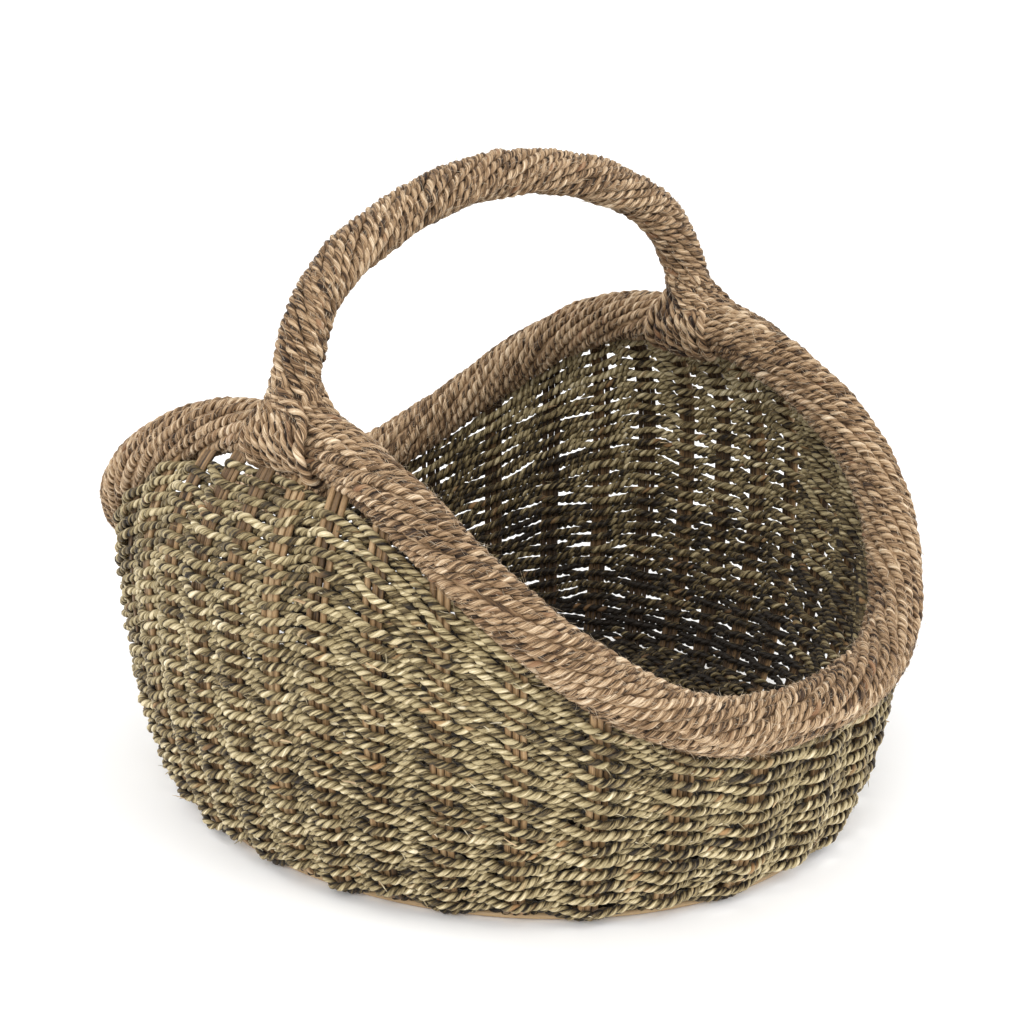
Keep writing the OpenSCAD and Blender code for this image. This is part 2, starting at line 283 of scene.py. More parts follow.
def rope(bundle, line, out, size, turn, tone=0.0, ring=False, step=None, ends=6.0, scatter=0.16,
         uneven=0.09, seam_shade=0.6, inward_shade=0.0, flat=1.0):
    """Two plies twisted round each other along the line. size is the rope's diameter, turn the length of
    one turn, ends the length of its tapered ends, the inward shade how much painted shade darkens the sides
    that face away from out, and flat squeezes the rope across out. Gives the rope's line, outward sides and
    sizes."""
    columns = [np.broadcast_to(np.asarray(value, float), (len(line),)) for value in (size, inward_shade, flat)]
    data, length = resample(line, [out] + columns, step or turn / STEPS_A_TURN, ring)
    line, out = data[:, :3], data[:, 3:6]
    size, inward_shade, flat = data[:, 6:].T
    t = tangents(line, ring)
    out = unit(out - t * np.sum(out * t, 1, keepdims=True))
    across = np.cross(t, out)
    s = np.arange(len(line)) * (length / len(line))
    turns = max(1, round(length / turn))
    taper = np.ones(len(line))
    if not ring:
        edge = np.minimum(s, s[-1] - s)
        taper = np.clip(edge / ends, 0.04, 1) ** 0.6
    slip = wobble(s, 60) * (0.0 if ring else 0.5)
    start = rng.uniform(0, TAU)
    for ply in (0, 1):
        f = start - (TAU * turns * s / length + slip) + math.pi * ply
        radial = np.cos(f)[:, None] * out + (flat * np.sin(f))[:, None] * across
        lump = 1 + uneven * wobble(s, 14)
        lift = PLY_LIFT * size * taper * (1 + 0.5 * uneven * wobble(s, 20))
        centre = line + lift[:, None] * radial
        radial = unit(radial)
        side = unit(np.cross(tangents(centre, ring), radial))
        thick = PLY_THICK * size * taper * lump
        wide = PLY_WIDE * size * taper * (2 - lump)
        tones = tone + scatter * (0.75 * wobble(s, 45) + rng.normal(0, 0.55))
        tones = tones + 0.45 * scatter * wobble(s, 9)
        along = s * METRE * PLY_TAKE_UP + rng.uniform(0, 60)
        # painted shade on each ply's seam, in the crevice between the two plies
        bundle.tube(centre, radial, side, thick, wide, tones, along, ring=ring, seam_shade=seam_shade,
                    shade=(out, inward_shade))
    return line, out, size


# ---------------------------------------------------------------------------
# Materials
# ---------------------------------------------------------------------------
MIX_FACTOR, MIX_FIRST, MIX_SECOND, MIX_RESULT = 0, 6, 7, 2  # a Mix node's sockets for colours


def srgb(r, g, b):
    return [((c / 255 + 0.055) / 1.055) ** 2.4 if c > 10 else c / 255 / 12.92 for c in (r, g, b)] + [1]


def fibre_material(name, stops, warm, warm_share, streaks, contrast, roughness, bump, grain=900.0):
    """Plant fibre. A strand's own tone, streaks along it, patches and grain add up to one value, which
    the stops turn into a colour. Worn stretches of some strands take the warm colour."""
    mat = bpy.data.materials.new(name)
    mat.use_nodes = True
    nodes, links = mat.node_tree.nodes, mat.node_tree.links
    shader = nodes["Principled BSDF"]

    def node(kind, **inputs):
        made = nodes.new("ShaderNode" + kind)
        for key, value in inputs.items():
            made.inputs[key].default_value = value
        return made

    def maths(operation, a, b, clamp=False):
        made = node("Math")
        made.operation, made.use_clamp = operation, clamp
        for socket, value in zip(made.inputs, (a, b)):
            if isinstance(value, (int, float)):
                socket.default_value = value
            else:
                links.new(value, socket)
        return made.outputs[0]

    def noise(vector, scale, detail, stretch=None):
        made = node("TexNoise", Scale=scale, Detail=detail, Roughness=0.6)
        if stretch:
            mapping = node("Mapping", Scale=stretch)
            links.new(vector, mapping.inputs["Vector"])
            vector = mapping.outputs["Vector"]
        links.new(vector, made.inputs["Vector"])
        return made.outputs["Fac"]

    def swing(pattern, amount):
        """A noise that swings about zero"""
        return maths("MULTIPLY", maths("SUBTRACT", pattern, 0.5), amount)

    uv_map = node("UVMap")
    uv_map.uv_map = "strand"
    strand = uv_map.outputs["UV"]
    tone = node("Attribute")
    tone.attribute_name = "tone"
    place = node("TexCoord").outputs["Object"]
    along, across = streaks
    fibres = noise(strand, 1.0, 3.0, (along, across, 1))
    blades = noise(strand, 1.0, 1.0, (along * 0.35, across * 0.3, 1))
    spots = noise(strand, 1.0, 1.0, (along * 0.22, 0.8, 1))
    fine = noise(place, grain, 2.0)
    patches = noise(place, 38.0, 3.0)
    value = maths("ADD", tone.outputs["Fac"], 0.5)
    value = maths("ADD", value, swing(fibres, contrast))
    value = maths("ADD", value, swing(blades, contrast * 0.8))
    value = maths("ADD", value, swing(patches, 0.35))
    value = maths("ADD", value, swing(fine, 0.25), True)
    ramp = node("ValToRGB")
    links.new(value, ramp.inputs["Fac"])
    points = ramp.color_ramp.elements
    while len(points) < len(stops):
        points.new(0.5)
    for point, (position, colour) in zip(points, stops):
        point.position, point.color = position, srgb(*colour)
    mix = node("Mix")
    mix.data_type, mix.blend_type = "RGBA", "MIX"
    cover = maths("MULTIPLY", maths("SUBTRACT", spots, 1 - warm_share), 9.0, True)
    links.new(maths("MULTIPLY", cover, 0.8), mix.inputs[MIX_FACTOR])
    links.new(ramp.outputs["Color"], mix.inputs[MIX_FIRST])
    mix.inputs[MIX_SECOND].default_value = srgb(*warm)
    links.new(mix.outputs[MIX_RESULT], shader.inputs["Base Color"])
    links.new(maths("ADD", maths("MULTIPLY", fibres, 0.25), roughness - 0.12), shader.inputs["Roughness"])
    ridge = node("Bump", Strength=bump, Distance=0.0006)
    links.new(fibres, ridge.inputs["Height"])
    links.new(ridge.outputs["Normal"], shader.inputs["Normal"])
    shader.inputs["Specular IOR Level"].default_value = 0.35
    shader.inputs["Sheen Weight"].default_value = 0.05
    shader.inputs["Sheen Roughness"].default_value = 0.5
    return mat


SEAGRASS = fibre_material(
    "seagrass_rope",
    stops=[(0.0, (26, 16, 4)), (0.25, (96, 80, 48)), (0.5, (163, 147, 108)), (0.72, (203, 187, 148)),
           (1.0, (242, 229, 198))],
    warm=(172, 131, 86), warm_share=0.33, streaks=(120.0, 9.0), contrast=1.3, roughness=0.55, bump=0.9)
BROWN = fibre_material(
    "brown_rope",
    stops=[(0.0, (36, 20, 7)), (0.25, (112, 84, 54)), (0.5, (168, 138, 104)), (0.72, (202, 175, 141)),
           (1.0, (238, 219, 190))],
    warm=(142, 102, 70), warm_share=0.34, streaks=(140.0, 20.0), contrast=1.75, roughness=0.68, bump=1.0,
    grain=1400.0)
CANE = fibre_material(
    "cane",
    stops=[(0.0, (52, 36, 20)), (0.35, (122, 95, 63)), (0.6, (166, 134, 95)), (1.0, (208, 182, 142))],
    warm=(118, 84, 54), warm_share=0.3, streaks=(60.0, 12.0), contrast=0.9, roughness=0.5, bump=0.35)
HOOP = fibre_material(
    "cane_hoop",
    stops=[(0.0, (128, 100, 66)), (0.5, (178, 150, 112)), (1.0, (210, 186, 148))],
    warm=(156, 122, 84), warm_share=0.3, streaks=(40.0, 10.0), contrast=0.5, roughness=0.5, bump=0.25)

# ---------------------------------------------------------------------------
# Rods: they run out under the base, turn up and climb into the rim
# ---------------------------------------------------------------------------
FOUR_RODS_SHARE = 0.3
ROD_WIDTHS = {3: 3.05, 4: 2.4}


def stake(i):
    """The three or four rods of one stake, side by side"""
    a = float(stake_angle(i))
    bundle = Bundle()
    z = np.linspace(STAKE_FOOT + 2.5, float(rim_height(a)) - 5, 60)
    climb = wall_point(a, z)
    toward = unit(climb[0] * [1, 1, 0])
    turn_up = np.linalg.norm(wall_point(a, WEAVE_FLOOR)[:2])
    run = np.linspace(BASE_STAKE_END, turn_up - 2.5, 24)[:, None] * toward + [0, 0, STAKE_FOOT]
    bend = toward * (turn_up - 0.8) + [0, 0, STAKE_FOOT + 0.7]
    path = np.concatenate([run, bend[None], climb])
    side = np.array([-toward[1], toward[0], 0.0])
    rods = 4 if rng.random() < FOUR_RODS_SHARE else 3
    width = ROD_WIDTHS[rods]
    for r in range(rods):
        shift = (r - (rods - 1) / 2) * width + rng.normal(0, 0.12)
        line, length = resample(path + side * shift, [], 2.2)
        s = np.linspace(0, length, len(line))
        line = line + side * (0.28 * wobble(s, 90))[:, None]
        normal = -unit(np.cross(tangents(line), side))
        line = line + normal * (0.22 * wobble(s, 70))[:, None]
        radius = width / 2 * (1 + 0.05 * wobble(s, 60))
        tone = rng.normal(0, 0.14) + 0.07 * wobble(s, 50)
        # painted shade on the side of each rod that faces the wall, darker by the seam amount
        bundle.tube(line, normal, np.broadcast_to(-side, line.shape), radius * 0.96, radius, tone,
                    s * METRE + rng.uniform(0, 50), sides=8, seam_shade=0.5)
    bundle.build(f"rods_{i + 1:02d}", CANE, "cane", [f"stake_{i + 1:02d}"])


for i in range(STAKES):
    stake(i)

# ---------------------------------------------------------------------------
# Wall: every row is a two-ply rope that passes in front of and behind the rods
# ---------------------------------------------------------------------------
POINTS_A_STAKE = 26
RUN_PAST = 0.42  # the upper row of a packed pair runs on by this share of a stake's room
BASE_INWARD_SHADE, INWARD_SHADE_HEIGHT = 0.75, 135.0  # painted shade: the inner side of the rows is painted darker towards the base
WALL_SPOTS, ROPE_SPOTS = [], []


def remember(spots, line, out, size):
    """Keeps the places on a rope's outer side where loose fibres can start"""
    spots.append((line + out * (size * 0.42)[:, None], out, tangents(line)))


def ripple(span, counts, amount):
    """A random closed curve: waves that go round the given numbers of times"""
    return sum(np.sin(span * n + rng.uniform(0, TAU)) * amount for n in counts)


def wall_row(bundle, course, k, row, first, last, ring):
    """One row from stake first to stake last, or right round. row is 0 for the lower of its pair and 1
    for the upper, and the two go to opposite sides of each stake."""
    stations = np.arange(first - 2, last + 3)
    middles = np.array([row_middle(course, k, row, i) for i in stations])
    past = 0.0 if ring else RUN_PAST * row
    first, last = first - past, last + past
    u = np.linspace(first, last, int((last - first) * POINTS_A_STAKE) + 1)
    if ring:
        u = u[:-1]
        span = np.linspace(0, TAU, len(u))
        drift = ripple(span, (9, 17, 28, 41, 57), 0.34)
        push = ripple(span, (9, 16, 23, 31), 0.22)
    else:
        drift = 0.6 * wobble(u, 1.1)
        push = 0.4 * wobble(u, 1.3)
    a = stake_angle(u)
    z = smooth_between(middles, u - stations[0]) + drift
    swing = np.cos(math.pi * u) * (1 - 2 * row)
    swing = np.sign(swing) * swing ** 2
    size = 1 + 0.05 * rng.normal() + 0.05 * np.sin(u * rng.uniform(1.1, 2.3) + rng.uniform(0, TAU))
    size = WALL_ROPE * size
    offset = swing * (ROD / 2 + size * 0.5) + push
    if not ring:
        edge = np.minimum(u - first, last - u)
        tuck = np.clip(1 - edge / (0.7 - 0.6 * past), 0, 1)
        offset = offset * (1 - tuck) - 2.5 * tuck
        size = size * (1 - 0.25 * tuck)
    normal = wall_normal(a, z)
    line = wall_point(a, z) + normal * offset[:, None]
    # the tone differs at random from row to row, and lower rows are painted lighter, a painted light on the
    # lower wall
    tone = 0.05 * rng.normal() + 0.07 * max(0.0, 1 - float(z.mean()) / 110)
    turn = WALL_TURN * (1 + 0.06 * rng.normal())
    # painted shade on the inward-facing sides of the rows, darker towards the base
    made = rope(bundle, line, normal, size, turn, tone, ring, step=0.88, scatter=0.14, uneven=0.17,
                seam_shade=0.58, inward_shade=BASE_INWARD_SHADE * np.clip(1 - z / INWARD_SHADE_HEIGHT, 0, 1),
                flat=0.8 + 0.18 * np.clip(swing, 0, 1))
    remember(WALL_SPOTS, *made)


def packed_half(course, k, middle):
    """How many stakes a packed pair reaches to each side of a handle foot"""
    return sum(has_pair(course, k, middle + j) for j in range(1, STAKES // 4 + 1)) + 1


for course in range(COURSES):
    bundle = Bundle()
    for row in (0, 1):
        wall_row(bundle, course, 0, row, 0, STAKES, True)
    bundle.build(f"rows_{course + 1:02d}", SEAGRASS, "seagrass", [f"course_{course + 1:02d}"])

for side, middle in (("left", STAKES // 2), ("right", 0)):
    for group, courses in enumerate(((0, 1, 2), (3, 4, 5), (6, 7, 8), (9, 10))):
        bundle = Bundle()
        for course in courses:
            for k, row in ((1, 0), (1, 1), (2, 0), (2, 1)):
                if has_pair(course, k, middle + row):
                    half = packed_half(course, k, middle) - row
                    wall_row(bundle, course, k, row, middle - half, middle + half, False)
        bundle.build(f"packed_rows_{side}_{group + 1}", SEAGRASS, "seagrass", [f"packing_{side}"])

# ---------------------------------------------------------------------------
# Base: rings of rope woven over and under the rods, sticks across the middle, and the hoop
# ---------------------------------------------------------------------------
def base_rings():
    """Rings from the wall inwards: plain weave over the stakes, then a flat coil over the sticks"""
    parts = [Bundle() for _ in range(3)]
    u = np.linspace(0, STAKES, STAKES * 16, endpoint=False)
    a = stake_angle(u)
    edge = np.linalg.norm(wall_point(0.0, WEAVE_FLOOR)[:2])
    radius, count = edge - 2.5, 0
    while radius > 4:
        inside = radius < BASE_STAKE_END - 2
        line = wall_point(a, WEAVE_FLOOR) * (radius / edge)
        sway = np.cos(math.pi * u) * (1 if count % 2 else -1)
        line[:, 2] = (9.2 if inside else 6.2 + 3.2 * sway) + 0.2 * np.sin(np.radians(a) * 7 + count)
        up = np.broadcast_to(np.array([0, 0, 1.0]), line.shape)
        size = BASE_MIDDLE_ROPE if inside else BASE_ROPE
        rope(parts[count % 3], line, up, size, WALL_TURN, -0.35, ring=True, step=1.1)
        radius -= BASE_MIDDLE_PITCH if inside else BASE_PITCH
        count += 1
    for part, bundle in enumerate(parts):
        bundle.build(f"base_rings_{part + 1}", SEAGRASS, "seagrass", ["base_weave"])


def base_rods():
    """Sticks that lie across the middle of the base"""
    bundle = Bundle()
    rods, radius = 9, 1.45
    room = BASE_STAKE_END - ROD
    for i in range(rods):
        y = (i - (rods - 1) / 2) * 2 * room / (rods + 1)
        half = math.sqrt(room * room - y * y) - ROD
        x = np.linspace(-half, half, 40)
        line = np.stack([x, y + 0.3 * wobble(x, 60), STAKE_FOOT - 0.05 + 0 * x], -1)
        up = np.broadcast_to(np.array([0, 0, 1.0]), line.shape)
        side = np.broadcast_to(np.array([0, 1.0, 0]), line.shape)
        radii = np.full(len(x), radius)
        bundle.tube(line, up, side, radii, radii, 0.1 * wobble(x, 40), x * METRE + i * 3.0, sides=8)
    bundle.build("base_rods", CANE, "cane", ["base_sticks"])


def hoop():
    """The ring of cane that the basket stands on"""
    bundle = Bundle()
    a = np.linspace(0, 360, 240, endpoint=False)
    line = wall_point(a, WEAVE_FLOOR, WALL / 2 - HOOP_INSET - HOOP_WIDE / 2)
    line[:, 2] = HOOP_THICK / 2 + 0.05
    up = np.broadcast_to(np.array([0, 0, 1.0]), line.shape)
    thick = HOOP_THICK / 2 + 0.03 * np.sin(np.radians(a * 9))
    wide = HOOP_WIDE / 2 + 0.12 * np.sin(np.radians(a * 4))
    tone = 0.08 * np.sin(np.radians(a * 3))
    bundle.tube(line, up, np.cross(tangents(line, True), up), thick, wide, tone,
                np.arange(len(a)) * 3.3 * METRE, sides=12, ring=True)
    bundle.build("hoop", HOOP, "cane", ["foot_hoop"])


base_rings()
base_rods()
hoop()

# ---------------------------------------------------------------------------
# Rim: ropes laid round the core at a long lay, strays that cross them, and a bed that fills the gaps
# ---------------------------------------------------------------------------
RIM_A = np.linspace(180, 540, 1801)
RIM_S = lengths_along(rim_point(RIM_A))
RIM_TOTAL = RIM_S[-1]
RIM_LAY, RIM_LAY_RADIUS = math.radians(17), 10.0
RIM_TURNS = round(RIM_TOTAL * math.tan(RIM_LAY) / RIM_LAY_RADIUS / TAU * RIM_ROPES) / RIM_ROPES


def rim_line(s, psi, radius):
    """Points and outward directions at places along the rim, at angles and distances round its core"""
    a = np.interp(s, RIM_S, RIM_A)
    radial = turned_from(psi, *rim_axes(a)[1:])
    return rim_point(a) + radial * radius[:, None], radial


def rim_half(half, start):
    """Half of the wrap, from one handle foot to the other, in two pieces"""
    parts = [Bundle(), Bundle()]
    first, last = start * RIM_TOTAL, (start + 0.5) * RIM_TOTAL
    s = np.linspace(first, last + 1.0, 800)
    together = 0.16 * wobble(s, 90)
    for j in range(RIM_ROPES):
        psi = TAU * j / RIM_ROPES + TAU * RIM_TURNS * s / RIM_TOTAL
        fade = np.clip(np.minimum(s - first, last - s) / 25, 0, 1)
        psi = psi + fade * (together + 0.085 * wobble(s, 60))
        line, radial = rim_line(s, psi, RIM_ROPES_AT + 0.4 * fade * wobble(s, 40))
        size = RIM_ROPE * (1 + 0.08 * wobble(s, 50))
        turn, tone = BROWN_TURN * rng.normal(1, 0.07), rng.normal(0, 0.05)
        remember(ROPE_SPOTS, *rope(parts[j % 2], line, radial, size, turn, tone, ends=1.5, scatter=0.13,
                                   uneven=0.15, seam_shade=0.5))
    for j in range(RIM_STRAYS):
        length = rng.uniform(50, 120)
        at = rng.uniform(first + 12, last - length - 12)
        f = np.linspace(0, 1, 90)
        s = np.linspace(at, at + length, 90)
        lay = math.radians(rng.choice([rng.uniform(-4, 8), rng.uniform(22, 34)]))
        slope = math.tan(lay) / RIM_LAY_RADIUS
        psi = rng.uniform(-1.9, 2.6) + slope * (s - at) + 0.12 * wobble(s, 50)
        radius = 8.4 + 2.5 * np.sin(math.pi * f) ** 0.5 + 0.2 * wobble(s, 30)
        line, radial = rim_line(s, psi, radius)
        size = RIM_STRAY + 0.3 * rng.normal()
        turn, tone = BROWN_TURN * rng.normal(1, 0.08), rng.normal(0, 0.06)
        remember(ROPE_SPOTS, *rope(parts[j % 2], line, radial, size, turn, tone, uneven=0.16, seam_shade=0.45))
    a = np.linspace(180, 361, 500) + 360 * start
    radius = np.full(len(a), RIM_BED)
    parts[0].tube(rim_point(a), *rim_axes(a)[1:], radius, radius, np.full(len(a), -0.12),
                  np.arange(len(a)) * METRE, sides=16)
    for part, bundle in enumerate(parts):
        bundle.build(f"rim_ropes_{half}_{part + 1}", BROWN, "rope", [f"rim_wrap_{half}"])


rim_half("front", 0.0)
rim_half("back", 0.5)

# ---------------------------------------------------------------------------
# Handle: ropes laid round the arch, whose ends bind it to the rim
# ---------------------------------------------------------------------------
SHOULDER_X = HANDLE_HALF - SHOULDER
CROWN = (SHOULDER_X ** 2 + HANDLE_RISE ** 2 - SHOULDER ** 2) / (2 * (HANDLE_RISE - SHOULDER))
CROWN_DROP = CROWN - HANDLE_RISE
FOOT_SWEEP = math.radians(12)
HANDLE_LAYS = np.radians([31, 26, 20, 19, 22])  # angles of the ropes at even steps along the handle
HANDLE_LAY_RADIUS = 8.0


def arch(points):
    """Points of the flat arch, x across, y up from its widest part and z to the front, put on the rim"""
    lean = math.radians(-HANDLE_LEAN)
    x, z, y = points[:, 0], points[:, 1] + HANDLE_SPRING - RIM_FOOT, -points[:, 2]
    return np.stack([x, y * math.cos(lean) - z * math.sin(lean) - HANDLE_SHIFT,
                     y * math.sin(lean) + z * math.cos(lean) + RIM_FOOT], -1)


def flat_arch():
    """The arch's line and outward directions in its own plane: a crown arc between two shoulder arcs"""
    sweep = math.atan2(CROWN_DROP, SHOULDER_X)
    right = np.linspace(-FOOT_SWEEP, sweep, 160)
    top = np.linspace(sweep, math.pi - sweep, 200)[1:-1]
    shoulder = np.stack([SHOULDER_X + SHOULDER * np.cos(right), SHOULDER * np.sin(right), 0 * right], -1)
    crown = np.stack([CROWN * np.cos(top), CROWN * np.sin(top) - CROWN_DROP, 0 * top], -1)
    line = np.concatenate([shoulder, crown, shoulder[::-1] * [-1, 1, 1]])[::-1]
    t = tangents(line)
    return line, np.stack([-t[:, 1], t[:, 0], 0 * t[:, 0]], -1)


def arch_frame():
    """The handle's line with its outward and forward directions"""
    line, out = flat_arch()
    origin = arch(np.zeros((1, 3)))
    forward = unit(arch(np.array([[0, 0, 1.0]])) - origin)
    return arch(line), unit(arch(out) - origin), np.broadcast_to(forward, out.shape)


def handle_ropes(halves):
    """The laid ropes, strays that cross them, and a bed that fills the gaps"""
    centre, out, forward = arch_frame()
    s = lengths_along(centre)
    lay = np.interp(s / s[-1], np.linspace(0, 1, len(HANDLE_LAYS)), HANDLE_LAYS)
    turned = np.append(0, np.cumsum(np.diff(s) * np.tan(lay[1:]) / HANDLE_LAY_RADIUS))
    together = 0.15 * wobble(s, 80)
    sides = {"left": s < s[-1] * 0.502, "right": s > s[-1] * 0.498}
    for j in range(HANDLE_ROPES):
        psi = TAU * j / HANDLE_ROPES - turned + together + 0.09 * wobble(s, 50)
        radial = turned_from(psi, out, forward)
        line = centre + radial * (HANDLE_ROPES_AT + 0.42 * wobble(s, 35))[:, None]
        size = HANDLE_ROPE * (1 + 0.08 * wobble(s, 45))
        tone = rng.normal(-0.02, 0.05)
        for name, keep in sides.items():
            turn = BROWN_TURN * rng.normal(1, 0.07)
            remember(ROPE_SPOTS, *rope(halves[name], line[keep], radial[keep], size[keep], turn, tone,
                                       ends=1.2, scatter=0.13, uneven=0.15, seam_shade=0.5))
    for _ in range(HANDLE_STRAYS):
        first = int(rng.integers(30, len(s) - 130))
        keep = slice(first, first + int(rng.integers(50, 100)))
        f = np.linspace(0, 1, len(s[keep]))
        psi = rng.uniform(0, TAU) - (turned[keep] - turned[first]) * rng.uniform(0.2, 1.5)
        psi = psi + 0.1 * wobble(s[keep], 40)
        radial = turned_from(psi, out[keep], forward[keep])
        line = centre[keep] + radial * (6.8 + 2.3 * np.sin(math.pi * f) ** 0.5)[:, None]
        name = "left" if first < len(s) / 2 - 45 else "right"
        remember(ROPE_SPOTS, *rope(halves[name], line, radial, HANDLE_STRAY, BROWN_TURN,
                                   rng.normal(0, 0.06), uneven=0.16, seam_shade=0.45))
    for name, keep in sides.items():
        radius = np.full(keep.sum(), HANDLE_BED)
        halves[name].tube(centre[keep], out[keep], forward[keep], radius, radius,
                          np.full(keep.sum(), -0.35), s[keep] * METRE, sides=12)


# ---------------------------------------------------------------------------
# Handle feet: both are built on the right, and the left one is mirrored
# ---------------------------------------------------------------------------
FOOT_X = float(rim_point(0.0)[0])
FLARE_RADIUS = 172.0  # turns a length along the rim near the foot into an angle


def leg_axis(height):
    """Middle of the right leg of the handle at a height over the middle of the rim"""
    up = height + RIM_FOOT - HANDLE_SPRING
    return np.array([SHOULDER_X + math.sqrt(SHOULDER ** 2 - up ** 2),
                     -HANDLE_SHIFT + height * math.sin(math.radians(HANDLE_LEAN)), RIM_FOOT + height])


def lashing_path(face, share, y, high):
    """From the leg down and over the rim's outer (face 1) or inner (face -1) side"""
    around = math.radians(48 * share + 32)
    way = np.array([face * math.cos(around), math.sin(around), 0])
    points = [leg_axis(high + 9) + way * 4.5, leg_axis(high) + way * 7.8, leg_axis(19.5) + way * 9.8]
    for reach, turn, lift in ((0.72, 52, 14.6), (0.92, 14, 14.9), (1.0, -22, 15.0), (1.0, -56, 14.6),
                              (0.95, -88, 12.0)):
        turn = math.radians(turn)
        points.append(np.array([FOOT_X + face * lift * math.cos(turn), y * reach - HANDLE_SHIFT + 1.0,
                                RIM_FOOT + lift * math.sin(turn)]))
    return curve_through(points)


def lashing(side):
    """Rope ends that leave the handle foot and fan out over each face of the rim"""
    bundle = Bundle()
    for face, count, spread in ((1, 9, 18.0), (-1, 8, 15.0)):
        for j in range(count):
            share = (j - (count - 1) / 2) / ((count - 1) / 2)
            y = share * spread * (1 + 0.05 * rng.normal())
            high = 27 - 4 * abs(share) + rng.normal(0, 1.5)
            line = lashing_path(face, share, y, high) * [side, 1, 1]
            core = line * [0, 1, 0] + [side * FOOT_X, 0, RIM_FOOT]
            normal = unit(line - core)
            line = line + normal * rng.normal(0, 0.45)
            size = LASHING_ROPE + 0.25 * rng.normal()
            turn, tone = LASHING_TURN * rng.normal(1, 0.08), rng.normal(-0.03, 0.07)
            remember(ROPE_SPOTS, *rope(bundle, line, normal, size, turn, tone, ends=3.0, uneven=0.14,
                                       seam_shade=0.7))
    name = "right" if side > 0 else "left"
    bundle.build(f"lashing_ropes_{name}", BROWN, "rope", [f"lashing_{name}"])


def flare_path(turn):
    """From the leg onto the rim, and on along it at the angle turn round its core"""
    way = np.array([math.cos(turn + 0.3), -math.sin(turn + 0.3), 0])
    points = [leg_axis(32) + way * 4, leg_axis(25) + way * 7.6, leg_axis(19) + way * 9.2]
    for reach, height, blend in ((7, 14.6, 0.6), (16, 12.9, 1), (29, 12.0, 1), (43, 11.2, 1), (57, 8.3, 1)):
        run = reach + HANDLE_SHIFT + rng.uniform(0, 3)
        a = np.array(-math.degrees(run / FLARE_RADIUS))
        _, out, up = rim_axes(a)
        along_rim = rim_point(a) + (out * math.cos(turn) + up * math.sin(turn)) * height
        points.append((leg_axis(height + 2) + way * 9.5) * (1 - blend) + along_rim * blend)
    return curve_through(points)


def flare(bundle, side):
    """Ropes that sweep from the handle foot onto the top of the rim and run on along it"""
    for j in range(FLARE_ROPES):
        line = flare_path(math.radians(56 + 15 * j)) * [side, 1, 1]
        normal = unit(line - [side * FOOT_X, -HANDLE_SHIFT - 20, RIM_FOOT - 25])
        line = line + normal * rng.normal(0, 0.4)
        size = FLARE_ROPE + 0.25 * rng.normal()
        turn, tone = FLARE_TURN * rng.normal(1, 0.08), rng.normal(0, 0.06)
        remember(ROPE_SPOTS, *rope(bundle, line, normal, size, turn, tone, ends=8.0, uneven=0.15,
                                   seam_shade=0.5))


handle_halves = {"left": Bundle(), "right": Bundle()}
handle_ropes(handle_halves)
for name, side in (("left", -1), ("right", 1)):
    lashing(side)
    flare(handle_halves[name], side)
for name, bundle in handle_halves.items():
    bundle.build(f"handle_ropes_{name}", BROWN, "rope", [f"handle_wrap_{name}"])

# ---------------------------------------------------------------------------
# Loose fibres on the brown rope, and blade ends and splints that stick out of the wall
# ---------------------------------------------------------------------------
FIBRE_TAPER = np.array([1, 1, 0.9, 0.7, 0.3])


def fibres(spots, count, name, material, slot, length, width, flat, lift, tone, scatter=0.22):
    """Thin three-sided strands. length, lift and tone are ranges, and flat squeezes width."""
    bundle = Bundle()
    places, outs, runs = (np.concatenate([spot[k] for spot in spots]) for k in range(3))
    k = np.linspace(0, 1, len(FIBRE_TAPER))[:, None]
    for p in rng.choice(len(places), count, replace=False):
        size = length[0] + (length[1] - length[0]) * rng.random() ** 2
        way = unit(outs[p] * rng.uniform(*lift) + runs[p] * rng.choice([-1, 1]) * rng.uniform(0.5, 1.2)
                   + rng.normal(0, scatter, 3))
        curl = unit(rng.normal(0, 1, 3)) * size * rng.uniform(0.05, 0.4)
        line = places[p] - outs[p] * 0.5 + way * size * k + curl * k * k
        t = tangents(line)
        normal = unit(np.cross(t, rng.normal(0, 1, 3)))
        radius = width * FIBRE_TAPER
        bundle.tube(line, normal, np.cross(t, normal), radius * flat, radius,
                    np.full(len(k), rng.uniform(*tone)), k[:, 0] * 0.01 + rng.uniform(0, 9), sides=3)
    bundle.build(name, material, slot)


for group in range(3):
    fibres(ROPE_SPOTS[group::3], 8000, f"loose_fibres_{group + 1}", BROWN, "rope",
           length=(1.8, 7.0), width=0.095, flat=1.0, lift=(-0.05, 0.17), tone=(0.15, 0.8))
fibres(ROPE_SPOTS, 150, "stray_fibres", BROWN, "rope",
       length=(3.0, 7.5), width=0.05, flat=1.0, lift=(0.2, 0.8), tone=(0.3, 0.8))
fibres(WALL_SPOTS, 3200, "blade_ends", SEAGRASS, "seagrass",
       length=(1.8, 6.0), width=0.4, flat=0.3, lift=(-0.05, 0.2), tone=(-0.1, 0.5))
fibres(WALL_SPOTS, 110, "splints", CANE, "cane",
       length=(6.0, 20.0), width=0.8, flat=0.3, lift=(-0.05, 0.04), tone=(0.1, 0.6), scatter=0.06)

# ---------------------------------------------------------------------------
# The cores stay as the CAD has them, under the ropes
# ---------------------------------------------------------------------------
for name in ("rim_core", "handle_core"):
    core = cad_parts[name]
    core.data.materials.clear()
    core.data.materials.append(CANE)

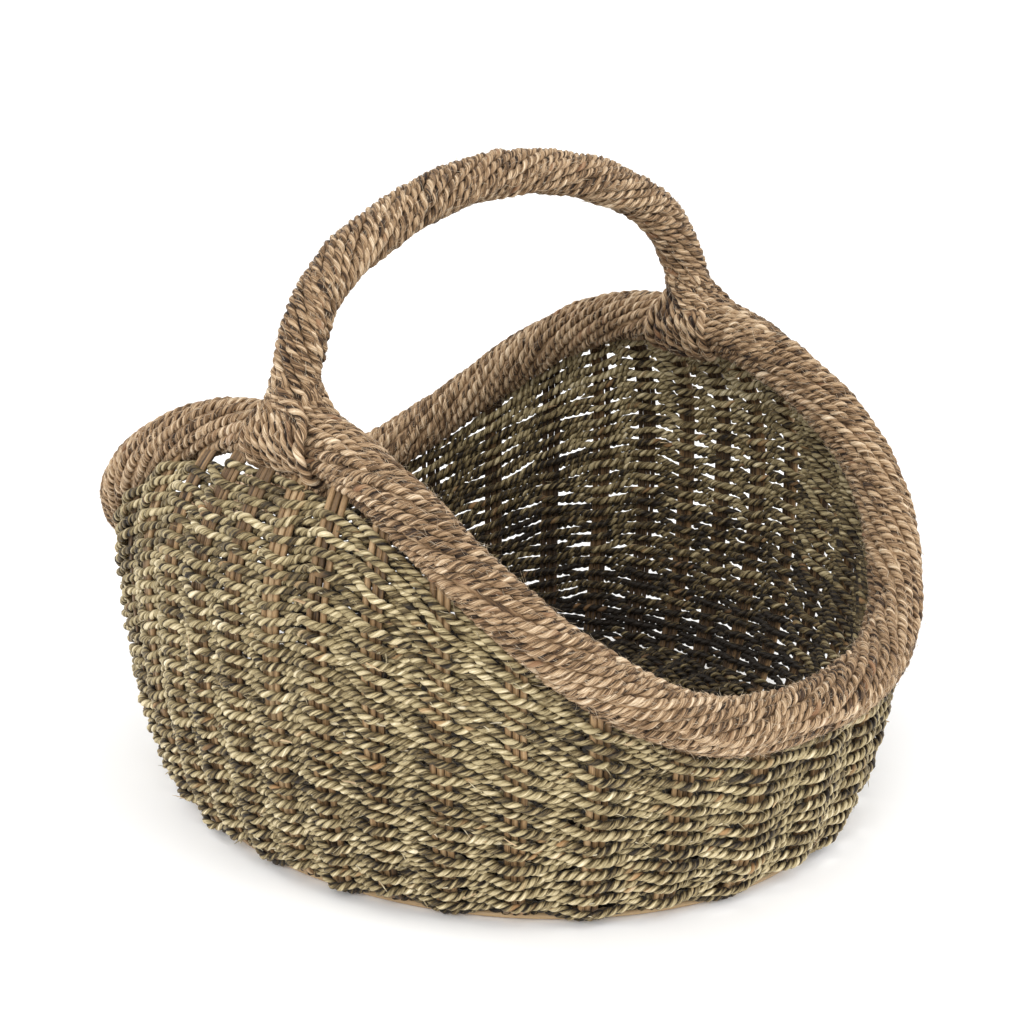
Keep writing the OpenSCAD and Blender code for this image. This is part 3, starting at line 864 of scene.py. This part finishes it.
# ---------------------------------------------------------------------------
# Floor, light and camera
# ---------------------------------------------------------------------------
FLOOR_RADIUS, FLOOR_COLOUR = 9.0, (0.97, 0.97, 0.97, 1)
AIM_HEIGHT, CAMERA_DISTANCE, CAMERA_AZIMUTH, CAMERA_ELEVATION = 0.105, 1.062, -46.3, 20.3
SENSOR_WIDTH, FOCAL_LENGTH, SHIFT_X, SHIFT_Y = 36, 82.3, 0.0088, 0.0408


def pale_floor():
    mat = bpy.data.materials.new("pale_floor")
    mat.use_nodes = True
    shader = mat.node_tree.nodes["Principled BSDF"]
    shader.inputs["Base Color"].default_value = FLOOR_COLOUR
    shader.inputs["Roughness"].default_value = 0.9
    shader.inputs["Specular IOR Level"].default_value = 0.0
    bpy.ops.mesh.primitive_circle_add(vertices=96, radius=FLOOR_RADIUS, fill_type="NGON",
                                      location=(0, 0, 0))
    floor = bpy.context.object
    floor.name = "floor"
    floor.data.materials.append(mat)


def studio():
    world = bpy.data.worlds.new("studio")
    scene.world = world
    world.use_nodes = True
    world.node_tree.nodes["Background"].inputs["Color"].default_value = (1, 1, 1, 1)
    world.node_tree.nodes["Background"].inputs["Strength"].default_value = 1.0


def sun(name, azimuth, elevation, strength, spread):
    light = bpy.data.lights.new(name, "SUN")
    light.energy, light.angle = strength, math.radians(spread)
    lamp = bpy.data.objects.new(name, light)
    scene.collection.objects.link(lamp)
    lamp.rotation_euler = (math.radians(90 - elevation), 0, math.radians(azimuth))


def add_camera():
    camera = bpy.data.objects.new("camera", bpy.data.cameras.new("camera"))
    scene.collection.objects.link(camera)
    azimuth, elevation = math.radians(CAMERA_AZIMUTH), math.radians(CAMERA_ELEVATION)
    back = np.array([math.sin(azimuth) * math.cos(elevation), -math.cos(azimuth) * math.cos(elevation),
                     math.sin(elevation)])
    camera.location = np.array([0, 0, AIM_HEIGHT]) + back * CAMERA_DISTANCE
    camera.rotation_euler = (math.pi / 2 - elevation, 0, azimuth)
    camera.data.sensor_width, camera.data.lens = SENSOR_WIDTH, FOCAL_LENGTH
    camera.data.shift_x, camera.data.shift_y = SHIFT_X, SHIFT_Y
    scene.camera = camera


pale_floor()
studio()
sun("key", azimuth=-62, elevation=34, strength=1.25, spread=30)
sun("left", azimuth=-160, elevation=42, strength=0.6, spread=20)
sun("right", azimuth=18, elevation=36, strength=1.1, spread=40)
add_camera()
scene.view_settings.view_transform = "Standard"
scene.view_settings.look = "None"
